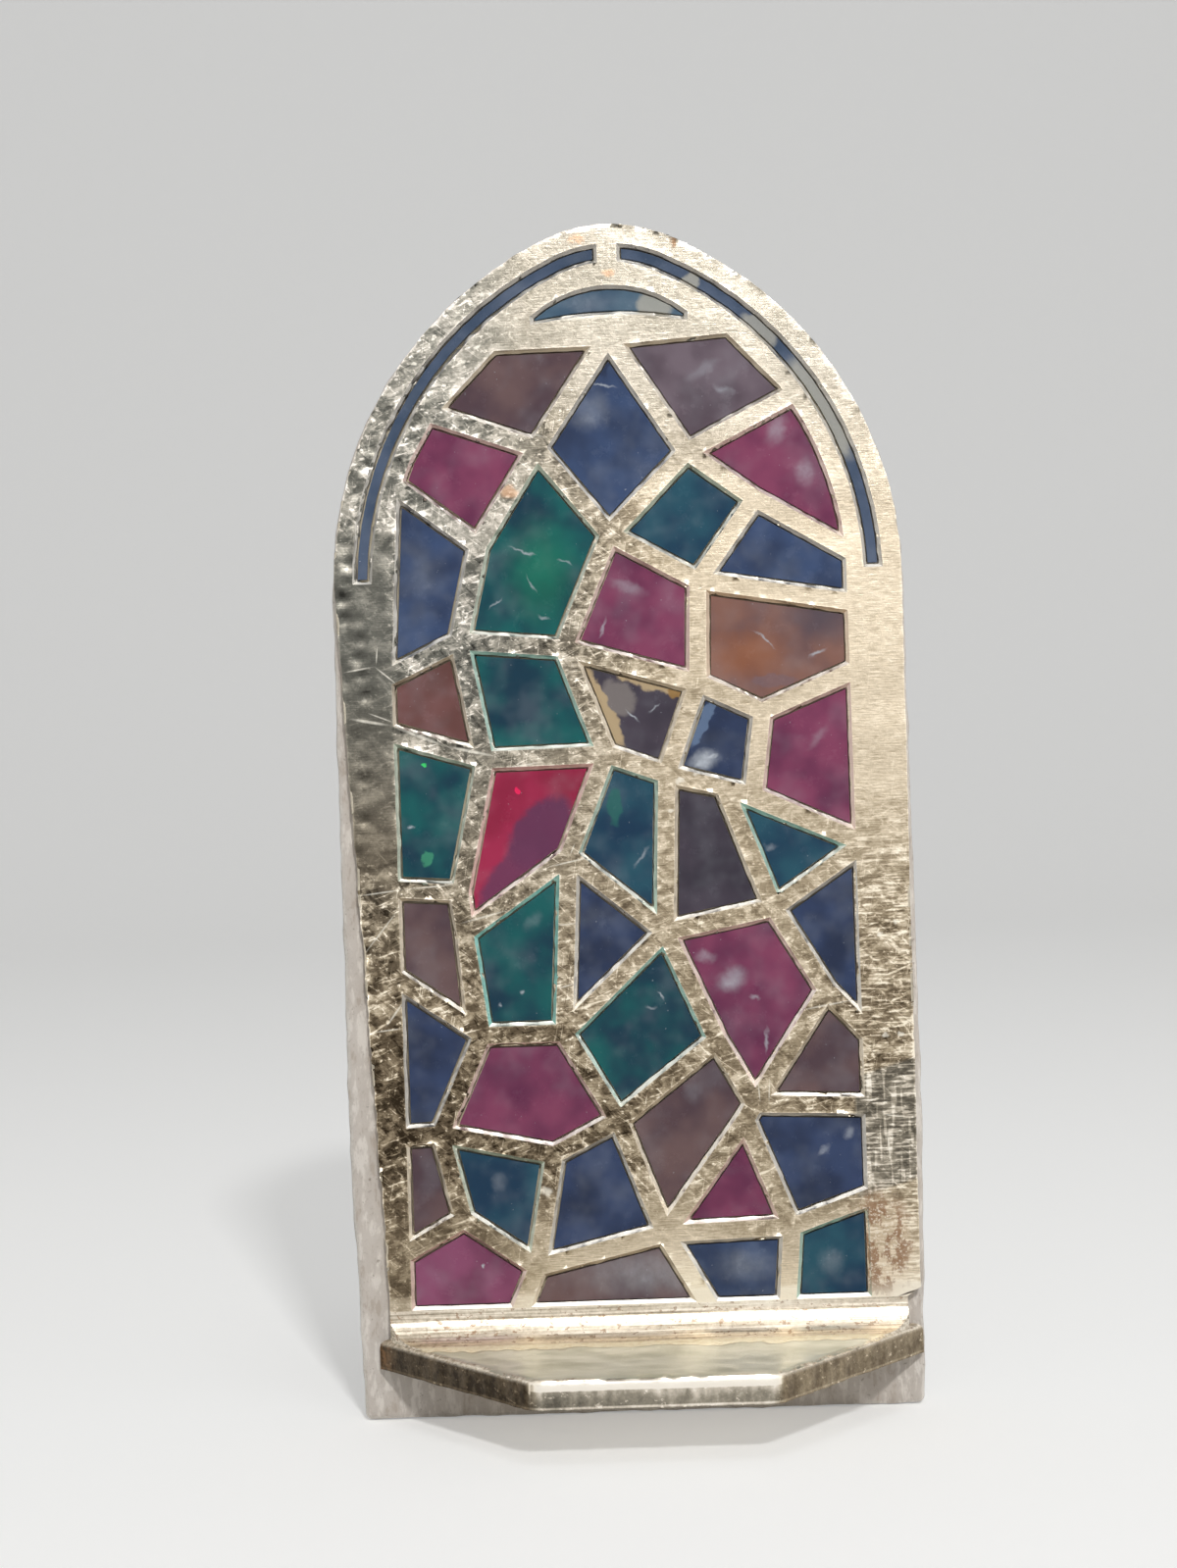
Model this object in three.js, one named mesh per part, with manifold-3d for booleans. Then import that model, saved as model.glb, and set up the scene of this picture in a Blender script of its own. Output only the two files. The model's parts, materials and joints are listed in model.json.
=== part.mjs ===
import * as THREE from 'three';
import { mergeVertices } from 'three/addons/utils/BufferGeometryUtils.js';
import Module from 'manifold-3d';

// A small upright devotional plaque made like a stained-glass window.
// An ivory plate with a pointed top carries a gilt brass sheet on its front. The sheet is pierced by a
// mosaic of openings, and its foot is bent forward into a shelf with a turned-down lip, for a figure.
// A thin coloured pane fills each opening, a little below the face of the sheet.
// Millimetres. X runs to the right seen from the front, Z runs up, and the front faces -Y.
// The origin is the middle of the plate's bottom face.

const wasm = await Module();
wasm.setup();

// Plate
const plateWidth = 33.8;
const plateHeight = 70;
const plateThickness = 2.5;
const sideArchRadius = 22.4;
const crownRadius = 9.2;
const footInset = 0.45;
const footInsetRise = 16;
const footCornerRadius = 0.5;
const plateEdgeRound = 0.3;

// Bonding film between the plate and what lies on its front
const filmThickness = 0.1;
const filmSetback = 0.5;

// Sheet, with how far it is set in from the plate's sides at the foot
const sheetThickness = 0.6;
const sheetRim = 0.22;
const bendInsetLeft = 2.2;
const bendInsetRight = 1.4;
const notchInset = 0.6;
const notchRise = 0.5;
const bendRadius = 1.65;
const bendEndInset = 0.2;

// Shelf, at the foot of the sheet. The ends of its lip stop just short of the plate.
const floorHeight = 4.85;
const shelfDepth = 9.6;
const shelfInset = 1;
const shelfFrontWidth = 13.6;
const shelfShift = 0.5;
const shelfCornerRadius = 1.4;
const lipHeight = 1.75;
const lipRound = 0.45;
const lipEndGap = 0.3;

// Openings and panes
const cameWidth = 1.45;
const windowFlare = 0.22;
const paneRecess = 0.2;
const paneClearance = 0.05;

// Mosaic field, measured along the middle lines of the bars round it
const borderBand = 3;
const crownBand = 6.9;
const footBar = 0.05;

// Two slots that follow the arch, and the crescent between them and the mosaic
const slotBand = 1.6;
const slotWidth = 0.65;
const slotBridge = 1.6;
const slotFootRise = 0.5;
const crescentWidth = 8.8;
const crescentDrop = 5.8;
const crescentRise = 1.6;
const crescentHollow = 0.45;
const crescentTip = 0.15;

// Steps that round stretches are drawn with
const sideArchSteps = 14;
const crownSteps = 10;
const cornerSteps = 5;
const bendSteps = 8;
const lipSteps = 4;

// Sizes that follow from these
const plateHalf = plateWidth / 2;
const archCentreOffset = sideArchRadius - plateHalf;
const crownCentreRise = Math.sqrt((sideArchRadius - crownRadius) ** 2 - archCentreOffset ** 2);
const springHeight = plateHeight - crownRadius - crownCentreRise;
const archTurn = Math.atan2(crownCentreRise, archCentreOffset);
const bendLeft = plateHalf - bendInsetLeft;
const bendRight = plateHalf - bendInsetRight;
const bendTop = floorHeight + bendRadius;
const shelfBackWidth = plateWidth - 2 * shelfInset;
const lipEndY = filmThickness - lipEndGap;
const paneThickness = sheetThickness - paneRecess;
const plateBackY = plateThickness / 2;
const filmBackY = plateBackY - plateThickness;
const sheetBackY = filmBackY - filmThickness;

// The mosaic as drawn: where the middle lines of its bars meet, in rows from the crown to the foot.
// X is measured from the middle line and Z from the middle line of the bar along the foot.
const drawnWidth = 27.8;
const drawnHeight = 57.1;
const junctions = {
  a1: [-7, 57], a2: [-0.1, 57.1], a3: [7.1, 57.6],
  b1: [-10.9, 53], b2: [-4.5, 50.7], b3: [4.3, 50.2], b4: [10.9, 53.5], b5: [14.6, 50],
  c1: [-13.2, 49], c2: [-8.1, 45.1], c3: [-0.4, 45.5], c4: [8.2, 47.3], c5: [13.9, 43.9],
  d1: [-13.9, 37.4], d2: [-9.4, 39.5], d3: [-3.3, 38.9], d4: [4.7, 42.6], d5: [13.9, 41],
  e1: [-13.9, 34.3], e2: [-8.1, 32.5], e3: [-1, 32.6], e4: [4.5, 36.6], e5: [8.2, 34.8], e6: [13.9, 37.1],
  f1: [-13.9, 25.1], f2: [-9.8, 24.8], f3: [-3.4, 26.7], f4: [2.5, 31.3], f5: [5.8, 30.5],
  f6: [7.5, 29.9], f7: [13.9, 26.9],
  g1: [-13.9, 20], g2: [-9.6, 22.4], g3: [2.1, 22.1], g4: [8.5, 23.3],
  h1: [-8.8, 16.4], h2: [-4, 16.4], h3: [4.9, 15.7], h4: [11.4, 18.4], h5: [13.9, 15.7],
  i1: [-13.9, 10.6], i2: [-11.4, 10.7], i3: [-4.8, 9.3], i4: [-1, 11.2], i5: [7, 11.9], i6: [13.9, 11.6],
  j1: [-13.9, 3.7], j2: [-10.2, 5.7], j3: [-6, 2.8], j4: [1.5, 4.5], j5: [6.4, 11], j6: [8.9, 4.7],
  j7: [13.9, 6.4],
  k1: [-13.9, 0], k2: [-7.2, 0], k3: [4.1, 0], k4: [8.5, 0], k5: [13.9, 0],
};

// The cells between the bars: colour of the pane, and the junctions round it.
const cells = [
  ['brown', 'a1 a2 b2 b1'],
  ['brown', 'a2 a3 b4 b3'],
  ['blue', 'a2 b3 c3 b2'],
  ['magenta', 'b1 b2 c2 c1'],
  ['magenta', 'b3 b4 b5 c5 c4'],
  ['teal', 'b2 c3 d3 d2 c2'],
  ['teal', 'b3 c4 d4 c3'],
  ['blue', 'c4 c5 d5 d4'],
  ['blue', 'c1 c2 d2 d1'],
  ['magenta', 'c3 d4 e4 d3'],
  ['amber', 'd4 d5 e6 e5 e4'],
  ['brown', 'd1 d2 e2 e1'],
  ['teal', 'd2 d3 e3 e2'],
  ['brown', 'd3 e4 f4 e3'],
  ['blue', 'e4 e5 f6 f4'],
  ['magenta', 'e5 e6 f7 f6'],
  ['teal', 'e1 e2 f2 f1'],
  ['red', 'e2 e3 f3 g2 f2'],
  ['teal', 'e3 f4 g3 f3'],
  ['brown', 'f4 f5 g4 g3'],
  ['teal', 'f5 f7 g4'],
  ['blue', 'f7 h5 h4 g4'],
  ['brown', 'f1 f2 g2 h1 g1'],
  ['teal', 'g2 f3 h2 h1'],
  ['blue', 'f3 g3 h2'],
  ['magenta', 'g3 g4 h4 i5 h3'],
  ['teal', 'g3 h3 i4 h2'],
  ['blue', 'g1 h1 i2 i1'],
  ['brown', 'h4 h5 i6 i5'],
  ['magenta', 'h1 h2 i4 i3 i2'],
  ['brown', 'i4 h3 i5 j5 j4'],
  ['blue', 'i5 i6 j7 j6 j5'],
  ['brown', 'i1 i2 j2 j1'],
  ['teal', 'i2 i3 j3 j2'],
  ['blue', 'i3 i4 j4 j3'],
  ['magenta', 'j5 j6 j4'],
  ['magenta', 'j1 j2 j3 k2 k1'],
  ['brown', 'j3 j4 k3 k2'],
  ['blue', 'j4 j6 k4 k3'],
  ['teal', 'j6 j7 k5 k4'],
];

const materials = {
  ivory: new THREE.MeshStandardMaterial({ color: 0xd8d0c2, roughness: 0.55, metalness: 0 }),
  film: new THREE.MeshStandardMaterial({ color: 0xe6e0d0, roughness: 0.5, metalness: 0 }),
  gilt: new THREE.MeshStandardMaterial({ color: 0xcdb98e, roughness: 0.32, metalness: 1 }),
  blue: new THREE.MeshStandardMaterial({ color: 0x2f456f, roughness: 0.18, metalness: 0 }),
  teal: new THREE.MeshStandardMaterial({ color: 0x155a5e, roughness: 0.18, metalness: 0 }),
  magenta: new THREE.MeshStandardMaterial({ color: 0x7c355c, roughness: 0.18, metalness: 0 }),
  brown: new THREE.MeshStandardMaterial({ color: 0x644a50, roughness: 0.18, metalness: 0 }),
  amber: new THREE.MeshStandardMaterial({ color: 0x7d5040, roughness: 0.18, metalness: 0 }),
  red: new THREE.MeshStandardMaterial({ color: 0x9a2b4e, roughness: 0.18, metalness: 0 }),
};

// Points along an arc, both ends included.
function arc(centreX, centreY, radius, from, to, steps) {
  return Array.from({ length: steps + 1 }, (_, i) => {
    const angle = from + ((to - from) * i) / steps;
    return new THREE.Vector2(centreX + radius * Math.cos(angle), centreY + radius * Math.sin(angle));
  });
}

// An outline seen in a mirror on the middle line, still running the same way round.
function mirrored(outline) {
  return outline.map((point) => new THREE.Vector2(-point.x, point.y)).reverse();
}

// The right half of the plate's arch, moved inwards by a margin, from one angle on the side arc
// to another on the crown arc.
function halfArch(margin, sideFrom = 0, crownTo = Math.PI / 2) {
  const side = arc(-archCentreOffset, springHeight, sideArchRadius - margin, sideFrom, archTurn, sideArchSteps);
  const crownCentre = springHeight + crownCentreRise;
  const crown = arc(0, crownCentre, crownRadius - margin, archTurn, crownTo, crownSteps);
  return [...side, ...crown.slice(1)];
}

function wholeArch(margin) {
  const right = halfArch(margin);
  return [...right, ...mirrored(right).slice(1)];
}

// A closed outline that runs counter-clockwise, with each side moved outwards by a distance.
function moved(outline, distance) {
  const outwards = outline.map((point, i) => {
    const next = outline[(i + 1) % outline.length];
    const along = next.clone().sub(point).normalize();
    return new THREE.Vector2(along.y, -along.x);
  });
  return outline.map((point, i) => {
    const before = outwards[(i + outline.length - 1) % outline.length];
    const after = outwards[i];
    const reach = distance / (1 + before.dot(after));
    return point.clone().addScaledVector(before, reach).addScaledVector(after, reach);
  });
}

// What is left of an area when each side of a convex outline, moved inwards by a distance, cuts it.
// Both run counter-clockwise.
function trimmed(area, outline, distance) {
  let kept = area;
  outline.forEach((start, i) => {
    const along = outline[(i + 1) % outline.length].clone().sub(start).normalize();
    const inwards = new THREE.Vector2(-along.y, along.x);
    const depth = (point) => point.clone().sub(start).dot(inwards) - distance;
    const next = [];
    kept.forEach((from, j) => {
      const to = kept[(j + 1) % kept.length];
      const [here, there] = [depth(from), depth(to)];
      if (here >= 0) next.push(from);
      if ((here >= 0) !== (there >= 0)) next.push(from.clone().lerp(to, here / (here - there)));
    });
    kept = next;
  });
  const shortestSide = 0.02;
  return kept.filter((point, i) => point.distanceTo(kept[(i + 1) % kept.length]) > shortestSide);
}

// An outline with its corners rounded by one radius.
function rounded(corners, radius) {
  return corners.flatMap((corner, i) => {
    const back = corners[(i + corners.length - 1) % corners.length].clone().sub(corner).normalize();
    const on = corners[(i + 1) % corners.length].clone().sub(corner).normalize();
    const half = back.angleTo(on) / 2;
    const middle = back.clone().add(on).normalize();
    const centre = corner.clone().addScaledVector(middle, radius / Math.sin(half));
    const sweep = Math.PI - 2 * half;
    const facing = Math.atan2(-middle.y, -middle.x);
    return arc(centre.x, centre.y, radius, facing - sweep / 2, facing + sweep / 2, cornerSteps);
  });
}

// Turns what is drawn flat, with its thickness along Z, to stand upright with that thickness along -Y.
function stood(geometry) {
  return geometry.rotateX(Math.PI / 2);
}

function extruded(outline, depth, bevel = {}) {
  const options = { depth, bevelEnabled: false, ...bevel };
  return new THREE.ExtrudeGeometry(new THREE.Shape(outline), options);
}

// A closed body through outlines with the same number of points, each at its own height.
function lofted(layers) {
  const count = layers[0].outline.length;
  const positions = layers.flatMap(({ outline, height }) => outline.flatMap((p) => [p.x, p.y, height]));
  const faces = [];
  for (let layer = 0; layer + 1 < layers.length; layer += 1) {
    for (let i = 0; i < count; i += 1) {
      const j = (i + 1) % count;
      const [low, high] = [layer * count, (layer + 1) * count];
      faces.push(low + i, low + j, high + j, low + i, high + j, high + i);
    }
  }
  const top = (layers.length - 1) * count;
  THREE.ShapeUtils.triangulateShape(layers[0].outline, []).forEach(([a, b, c]) => {
    faces.push(a, c, b, top + a, top + b, top + c);
  });
  const geometry = new THREE.BufferGeometry();
  geometry.setAttribute('position', new THREE.Float32BufferAttribute(positions, 3));
  geometry.setIndex(faces);
  return geometry;
}

// A closed geometry as a solid that can be joined and cut.
function solid(geometry) {
  const bare = geometry.clone();
  bare.deleteAttribute('normal');
  bare.deleteAttribute('uv');
  const merged = mergeVertices(bare);
  return new wasm.Manifold(new wasm.Mesh({
    numProp: 3,
    vertProperties: new Float32Array(merged.attributes.position.array),
    triVerts: new Uint32Array(merged.index.array),
  }));
}

function geometryOf(body) {
  const mesh = body.getMesh();
  const geometry = new THREE.BufferGeometry();
  geometry.setAttribute('position', new THREE.BufferAttribute(mesh.vertProperties, 3));
  geometry.setIndex(new THREE.BufferAttribute(mesh.triVerts, 1));
  const faceted = geometry.toNonIndexed();
  faceted.computeVertexNormals();
  return faceted;
}

// The moulded plate, drawn in a little towards its foot, with its front and back edges slightly rounded.
function plateGeometry() {
  const footHalf = plateHalf - footInset;
  const left = new THREE.Vector2(-plateHalf, footInsetRise);
  const right = new THREE.Vector2(plateHalf, footInsetRise);
  const foot = [new THREE.Vector2(-footHalf, 0), new THREE.Vector2(footHalf, 0), right, left];
  const footCorners = rounded(foot, footCornerRadius).slice(0, 2 * (cornerSteps + 1));
  const bevel = {
    bevelEnabled: true,
    bevelThickness: plateEdgeRound,
    bevelSize: plateEdgeRound,
    bevelOffset: -plateEdgeRound,
    bevelSegments: 2,
  };
  const outline = [...footCorners, right, ...wholeArch(0), left];
  const blank = extruded(outline, plateThickness - 2 * plateEdgeRound, bevel);
  return stood(blank.translate(0, 0, plateEdgeRound));
}

// The flat part of the sheet: the arch, sides that draw in towards the foot, and a relief notch
// beside the right end of the bend.
function sheetOutline(setback) {
  const outline = [
    new THREE.Vector2(-bendLeft, bendTop),
    new THREE.Vector2(bendRight, bendTop),
    new THREE.Vector2(plateHalf - notchInset, bendTop + notchRise),
    ...wholeArch(sheetRim),
  ];
  return moved(outline, -setback);
}

// The outline of the shelf seen from above: wide at the plate, with cut-off corners in front.
// Its sides run on behind the ends of the lip, where they are cut off later.
function shelfPlan() {
  const overrun = 6;
  const frontY = -sheetThickness - shelfDepth;
  const spread = (shelfBackWidth - shelfFrontWidth) / 2 / (lipEndY - frontY);
  const behindHalf = shelfBackWidth / 2 + spread * overrun;
  const behindY = lipEndY + overrun;
  return rounded([
    new THREE.Vector2(shelfShift - behindHalf, behindY),
    new THREE.Vector2(shelfShift - shelfFrontWidth / 2, frontY),
    new THREE.Vector2(shelfShift + shelfFrontWidth / 2, frontY),
    new THREE.Vector2(shelfShift + behindHalf, behindY),
  ], shelfCornerRadius);
}

// An upright block with the shelf's plan, moved outwards by a distance, between two heights.
function planBlock(distance, low, high) {
  return solid(extruded(moved(shelfPlan(), distance), high - low).translate(0, 0, low));
}

// A block that takes in all there is behind a place, from below the lip to above the bend.
function blockBehind(y) {
  const block = new THREE.BoxGeometry(3 * plateWidth, 2 * shelfDepth, 4 * bendTop);
  return solid(block.translate(0, y + shelfDepth, 0));
}

// The bend at the foot, with the start of the floor. The slanted sides of the shelf cut its ends.
function bendBody() {
  const centreY = -sheetThickness - bendRadius;
  const joinOverlap = 0.4;
  const stripTop = bendTop + joinOverlap / 2;
  const profile = [
    new THREE.Vector2(0, stripTop),
    new THREE.Vector2(-sheetThickness, stripTop),
    ...arc(centreY, bendTop, bendRadius, 0, -Math.PI / 2, bendSteps),
    new THREE.Vector2(centreY - joinOverlap, floorHeight),
    new THREE.Vector2(centreY - joinOverlap, floorHeight - sheetThickness),
    ...arc(centreY, bendTop, bendRadius + sheetThickness, -Math.PI / 2, 0, bendSteps),
  ];
  const strip = extruded(profile, bendLeft + bendRight);
  const body = solid(strip.rotateX(Math.PI / 2).rotateZ(Math.PI / 2).translate(-bendLeft, 0, 0));
  return body.intersect(planBlock(-bendEndInset, 0, 2 * bendTop));
}

// The shelf: a floor in front of the bend, and a lip turned down along its three free sides.
function shelfBody() {
  const plan = shelfPlan();
  const layers = [{ outline: plan, height: floorHeight - lipHeight }];
  for (let step = 0; step <= lipSteps; step += 1) {
    const angle = (Math.PI / 2) * (step / lipSteps);
    layers.push({
      outline: moved(plan, -lipRound * (1 - Math.cos(angle))),
      height: floorHeight - lipRound * (1 - Math.sin(angle)),
    });
  }
  const underFloor = planBlock(-sheetThickness, floorHeight - 2 * lipHeight, floorHeight - sheetThickness);
  const behindFloor = blockBehind(-sheetThickness - bendRadius)
    .intersect(planBlock(-sheetThickness, floorHeight - 2 * lipHeight, bendTop));
  return solid(lofted(layers)).subtract(underFloor).subtract(behindFloor).subtract(blockBehind(lipEndY));
}

// The area that the mosaic's openings keep to: the arch inside its border, down to the foot.
// It is a little wider than the cells, so that their own sides bound them below the arch.
function fieldArea(clearance) {
  const slack = 0.05;
  const margin = borderBand + cameWidth / 2 - slack + clearance;
  const half = plateHalf - margin;
  return [new THREE.Vector2(-half, 0), new THREE.Vector2(half, 0), ...wholeArch(margin)];
}

// The corners of a cell, with the drawing stretched to the field and turned counter-clockwise.
function cellCorners(names) {
  const fieldFoot = bendTop + footBar + windowFlare - cameWidth / 2;
  const fieldTop = plateHeight - crownBand;
  const fieldHalf = plateHalf - borderBand;
  const corners = names.split(' ').map((name) => {
    const [x, z] = junctions[name];
    return new THREE.Vector2(
      (x * fieldHalf) / (drawnWidth / 2),
      fieldFoot + (z * (fieldTop - fieldFoot)) / drawnHeight,
    );
  });
  return THREE.ShapeUtils.isClockWise(corners) ? corners.reverse() : corners;
}

function cellOpening(names, clearance = 0) {
  return trimmed(fieldArea(clearance), cellCorners(names), cameWidth / 2 + clearance);
}

// The slot along the right half of the arch, from its foot to the bridge at the crown.
function slotOpening() {
  const edge = (margin) => halfArch(
    margin,
    Math.asin(slotFootRise / (sideArchRadius - margin)),
    Math.acos(slotBridge / 2 / (crownRadius - margin)),
  );
  return [...edge(slotBand), ...edge(slotBand + slotWidth).reverse()];
}

// The crescent under the crown: a bold arc above, a faint one below, and blunt tips.
function crescentOpening() {
  const base = plateHeight - crescentDrop;
  const half = crescentWidth / 2;
  const bow = (foot, rise) => {
    const radius = (half ** 2 + rise ** 2) / (2 * rise);
    const reach = Math.asin(half / radius);
    return arc(0, foot + rise - radius, radius, Math.PI / 2 - reach, Math.PI / 2 + reach, crownSteps);
  };
  const below = bow(base, crescentHollow).reverse();
  return [...below, ...bow(base + crescentTip, crescentRise)];
}

// What one opening takes out of the sheet: straight walls round the pane, then a flare to the face.
function openingCutter(opening) {
  const beyond = 0.3;
  const slope = windowFlare / paneRecess;
  return solid(stood(lofted([
    { outline: opening, height: -beyond },
    { outline: opening, height: paneThickness },
    { outline: moved(opening, slope * (paneRecess + beyond)), height: sheetThickness + beyond },
  ])));
}

function sheetGeometry(openings) {
  let sheet = solid(stood(extruded(sheetOutline(0), sheetThickness)));
  sheet = sheet.add(bendBody()).add(shelfBody());
  openings.forEach((opening) => {
    sheet = sheet.subtract(openingCutter(opening));
  });
  return geometryOf(sheet);
}

function filmGeometry() {
  return stood(extruded(sheetOutline(filmSetback), filmThickness));
}

function paneGeometry(outline) {
  return stood(extruded(outline, paneThickness));
}

function piece(name, geometry, material, backY) {
  const mesh = new THREE.Mesh(geometry, material);
  mesh.name = name;
  mesh.position.y = backY;
  return mesh;
}

const slot = slotOpening();
const crescent = crescentOpening();
const openings = [slot, mirrored(slot), crescent, ...cells.map(([, names]) => cellOpening(names))];

const plaque = new THREE.Group();
plaque.add(piece('backing_plate', plateGeometry(), materials.ivory, plateBackY));
plaque.add(piece('adhesive_film', filmGeometry(), materials.film, filmBackY));
plaque.add(piece('front_sheet', sheetGeometry(openings), materials.gilt, sheetBackY));

const slotPane = moved(slot, -paneClearance);
plaque.add(piece('arch_pane_right', paneGeometry(slotPane), materials.blue, sheetBackY));
plaque.add(piece('arch_pane_left', paneGeometry(mirrored(slotPane)), materials.blue, sheetBackY));
plaque.add(piece('crescent_pane', paneGeometry(moved(crescent, -paneClearance)), materials.blue, sheetBackY));
cells.forEach(([colour, names], i) => {
  const name = `pane_${String(i + 1).padStart(2, '0')}`;
  const outline = cellOpening(names, paneClearance);
  plaque.add(piece(name, paneGeometry(outline), materials[colour], sheetBackY));
});

export default plaque;
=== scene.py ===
"""The looks of a small devotional plaque: worn gilt sheet, coloured panes and ivory plate."""

import json
import math

import bmesh
import bpy
import numpy as np
from mathutils import Matrix, Vector
from mathutils.kdtree import KDTree


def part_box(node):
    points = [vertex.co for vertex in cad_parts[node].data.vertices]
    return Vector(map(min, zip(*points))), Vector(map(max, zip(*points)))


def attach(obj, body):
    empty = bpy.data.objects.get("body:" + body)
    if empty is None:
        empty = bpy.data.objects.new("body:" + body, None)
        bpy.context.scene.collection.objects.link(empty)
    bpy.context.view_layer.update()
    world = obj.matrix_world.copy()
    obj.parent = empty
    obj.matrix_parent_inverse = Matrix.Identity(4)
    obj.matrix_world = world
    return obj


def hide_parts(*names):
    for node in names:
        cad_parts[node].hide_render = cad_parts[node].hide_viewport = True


# The frame is in metres. What is made here is worked out in millimetres.
MM = 0.001
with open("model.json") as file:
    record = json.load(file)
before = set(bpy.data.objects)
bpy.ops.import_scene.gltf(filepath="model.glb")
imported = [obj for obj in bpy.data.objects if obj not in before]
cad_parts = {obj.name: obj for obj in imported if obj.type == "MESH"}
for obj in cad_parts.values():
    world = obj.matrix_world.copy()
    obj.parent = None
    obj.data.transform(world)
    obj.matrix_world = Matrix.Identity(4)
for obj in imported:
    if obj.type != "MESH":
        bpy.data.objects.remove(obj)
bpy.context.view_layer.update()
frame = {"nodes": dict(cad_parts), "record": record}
nodes = frame["nodes"]
slots = {part["node"]: part["material_slot"] for part in frame["record"]["subparts"]}


def box_mm(node):
    low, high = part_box(node)
    return np.array(low) / MM, np.array(high) / MM


# Heights and depths that the materials and the dents go by
plate_low, plate_high = box_mm("backing_plate")
sheet_low, sheet_high = box_mm("front_sheet")
SHEET_GAUGE = 0.6
LIP_HEIGHT = 1.75
LIP_ROUND = 0.45
BEND_RADIUS = 1.65
PLATE_MIDDLE = plate_high[2] / 2
SHEET_FACE = sheet_high[1] - SHEET_GAUGE
SHELF_FRONT = sheet_low[1]
LIP_FOOT = sheet_low[2]
FLOOR_HEIGHT = LIP_FOOT + LIP_HEIGHT
LIP_TOP = FLOOR_HEIGHT - LIP_ROUND
BEND_TOP = FLOOR_HEIGHT + BEND_RADIUS
BEND_FRONT = SHEET_FACE - BEND_RADIUS

# Making the meshes finer, so that they can be dented, and rounding the edges of the panes
WELD = 0.002
CUT_SNAP = 0.004
FLAT_ANGLE = math.radians(0.5)
SHARP_ANGLE = math.radians(30)
SHEET_STEP = 0.25
PLATE_STEP = 0.5
PANE_ROUND = 0.03

# Camera
CAMERA_PLACE = Vector((-1.07, -126.95, 35.03)) * MM
CAMERA_PITCH = math.radians(0.863)
CAMERA_YAW = math.radians(0.469)
CAMERA_ROLL = math.radians(-1.907)
IMAGE_HEIGHT = 1599
FOCAL_PIXELS = 2179.7
SENSOR_HEIGHT = 36
NEAREST_SEEN = 0.005

# Lamps, in metres and watts: the direction they shine from, their size and their power
LAMP_DISTANCE = 0.4
LAMPS = {
    "key_lamp": ((0.17, -0.78, 0.60), 0.03, 0.72),
    "top_lamp": ((0.1, -0.3, 1), 0.12, 0.14),
    "side_lamp": ((1, -0.5, 0.25), 0.2, 0.08),
}

# How strong the light from all round is as it lights, as metal mirrors it and as the eye sees it
WORLD_LIGHT = 0.33
WORLD_MIRRORED = 0.95
WORLD_SEEN = 0.57

# What the floor adds to its own colour, in mirrors and for the eye
FLOOR_GLOW = 0.3

# Scratches on the sheet, and broad painted highlights below the crescent and the right arch: from x, z to
# x, z, and how wide, in millimetres
SCRATCHES_AND_HIGHLIGHTS = [
    (-16.3, 43.9, -14.4, 44.2, 0.16), (-14.4, 44.2, -13.1, 43.1, 0.14), (-14.2, 45.4, -14.3, 44.3, 0.12),
    (-16.0, 41.2, -13.5, 40.7, 0.26), (-13.5, 40.7, -10.4, 39.4, 0.3), (-10.4, 39.4, -7.4, 38.7, 0.26),
    (-14.9, 41.5, -13.4, 40.9, 0.12), (-10.9, 46.9, -9.0, 47.5, 0.14), (-7.5, 37.9, -4.7, 38.3, 0.16),
    (-15.8, 30.8, -13.1, 31.1, 0.14), (-13.1, 31.1, -9.9, 31.3, 0.12), (-9.9, 29.0, -7.0, 29.7, 0.18),
    (-7.1, 31.2, -4.8, 32.1, 0.16), (-4.8, 32.1, -1.8, 32.7, 0.14), (-15.7, 27.2, -13.4, 30.0, 0.14),
    (-14.4, 23.1, -13.2, 24.7, 0.18), (-15.2, 22.8, -13.3, 23.0, 0.12), (-4.4, 28.7, -2.9, 28.8, 0.12),
    (-4.4, 25.0, -3.2, 25.3, 0.12), (-3.3, 32.8, -3.0, 33.5, 0.12), (9.8, 23.3, 12.9, 23.8, 0.16),
    (7.2, 19.4, 7.3, 18.0, 0.12), (7.9, 19.5, 7.8, 17.9, 0.1), (14.4, 17.1, 15.7, 16.9, 0.14),
    # From -4.6, 64.2 to 5.2, 66.0: broad painted highlights below the crescent and the right arch
    (14.6, 16.2, 14.8, 14.3, 0.12), (-4.6, 64.2, 2.4, 64.5, 0.5), (2.2, 64.3, 4.9, 64.4, 0.3),
    (1.2, 67.5, 2.6, 66.8, 0.4), (2.4, 66.8, 5.2, 66.0, 0.35), (-9.9, 59.3, -7.4, 58.4, 0.3),
    (-7.4, 58.4, -3.9, 57.3, 0.3),
]

# Painted glints in small dints: x, z and how wide
DINT_GLINTS = [
    (-7.8, 62.7, 0.5), (-8.6, 61.9, 0.4), (-11.5, 61.9, 0.4), (-10.3, 63.4, 0.5), (-8.0, 65.3, 0.5),
    (-7.4, 65.8, 0.4), (-14.8, 55.6, 0.5), (-15.3, 54.1, 0.5), (6.6, 66.9, 0.3), (12.4, 61.5, 0.3),
    (4.0, 65.8, 0.4), (14.6, 27.6, 0.4), (15.5, 28.2, 0.4), (14.7, 21.7, 0.4), (15.6, 21.7, 0.4),
    (-5.3, 13.2, 0.9), (3.6, 37.7, 0.8), (4.3, 37.3, 0.6), (3.2, 36.9, 0.5), (-8, 44.6, 0.6),
    (2.6, 35.2, 0.4),
]

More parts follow.
